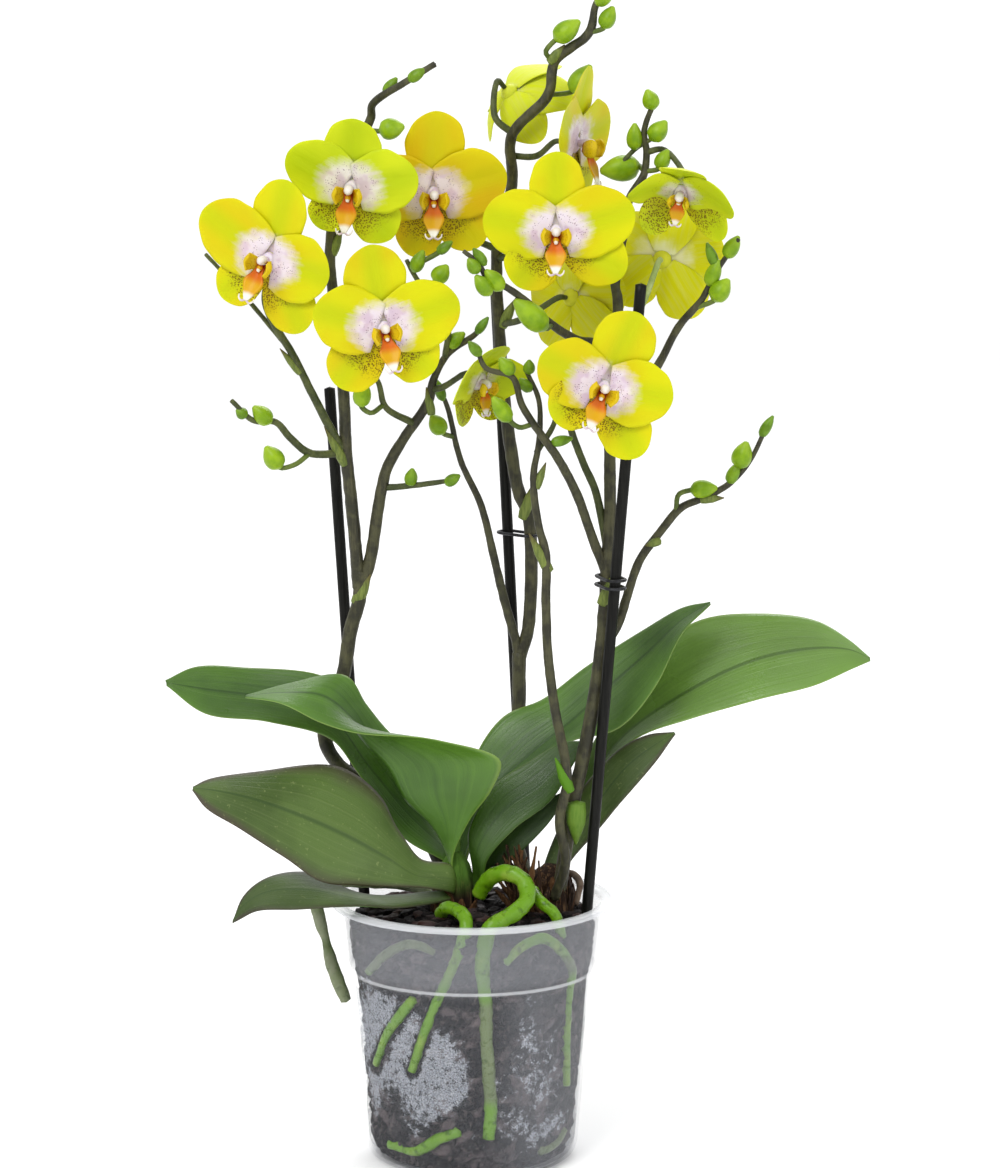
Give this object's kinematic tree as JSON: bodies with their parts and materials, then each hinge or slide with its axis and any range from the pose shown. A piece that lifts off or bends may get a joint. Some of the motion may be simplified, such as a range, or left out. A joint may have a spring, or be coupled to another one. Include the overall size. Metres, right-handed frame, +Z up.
{
  "type": "potted orchid",
  "caption": "Multiflora moth orchid with yellow blooms, buds, broad arching leaves and green roots in a clear plastic pot, its flower stems held to dark stakes.",
  "frame": {"origin": "centre of the flat underside of the pot, where it rests", "axes": "+Z up along the pot's axis, +X to the right as seen from the front, -Y towards the front, where most blooms face"},
  "size_m": [0.2996, 0.1354, 0.5062],
  "materials": {
    "clear_plastic": "gloss",
    "bark_mix": "rough",
    "old_leaf_base": "rough",
    "leaf": "satin",
    "leaf_underside": "satin",
    "stem": "satin",
    "petal_yellow": "soft",
    "petal_green": "soft",
    "petal_orange": "soft",
    "lip": "soft",
    "root_green": "satin",
    "root_grey": "matte",
    "root_dry": "rough",
    "stake": "satin",
    "clip_wire": "satin"
  },
  "bodies": {
    "root": {"pot": "clear_plastic", "crown_left": "old_leaf_base", "crown_right": "old_leaf_base", "leaf_back_left": "leaf", "leaf_folded_left": "leaf", "leaf_low_left": "leaf_underside", "leaf_drooping_left": "leaf_underside", "leaf_folded_right": "leaf", "leaf_long_right": "leaf", "leaf_short_right": "leaf_underside", "leaf_narrow_right": "leaf", "leaf_inner_right": "leaf", "bloom_1": "petal_yellow", "lip_1": "lip", "bloom_2": "petal_green", "lip_2": "lip", "bloom_3": "petal_yellow", "lip_3": "lip", "bloom_4": "petal_orange", "lip_4": "lip", "bloom_5": "petal_yellow", "lip_5": "lip", "bloom_6": "petal_yellow", "lip_6": "lip", "bloom_7": "petal_green", "lip_7": "lip", "bloom_8": "petal_yellow", "lip_8": "lip", "bloom_9": "petal_green", "lip_9": "lip", "bloom_10": "petal_yellow", "lip_10": "lip", "bloom_11": "petal_yellow", "lip_11": "lip", "bloom_12": "petal_green", "lip_12": "lip", "spike_left": "stem", "spike_middle": "stem", "spike_thin": "stem", "spike_right": "stem", "stake_left": "stake", "stake_middle": "stake", "stake_right": "stake", "clip_middle": "clip_wire", "clip_right_upper": "clip_wire", "clip_right_lower": "clip_wire", "root_loop": "root_green", "root_front_left": "root_green", "root_diagonal": "root_green", "root_arch_left": "root_green", "root_right": "root_green", "root_bottom_left": "root_green", "root_bottom_right": "root_green", "root_surface_right": "root_green", "root_dry": "root_dry", "root_aerial": "root_grey", "potting_mix": "bark_mix"}
  },
  "joints": []
}
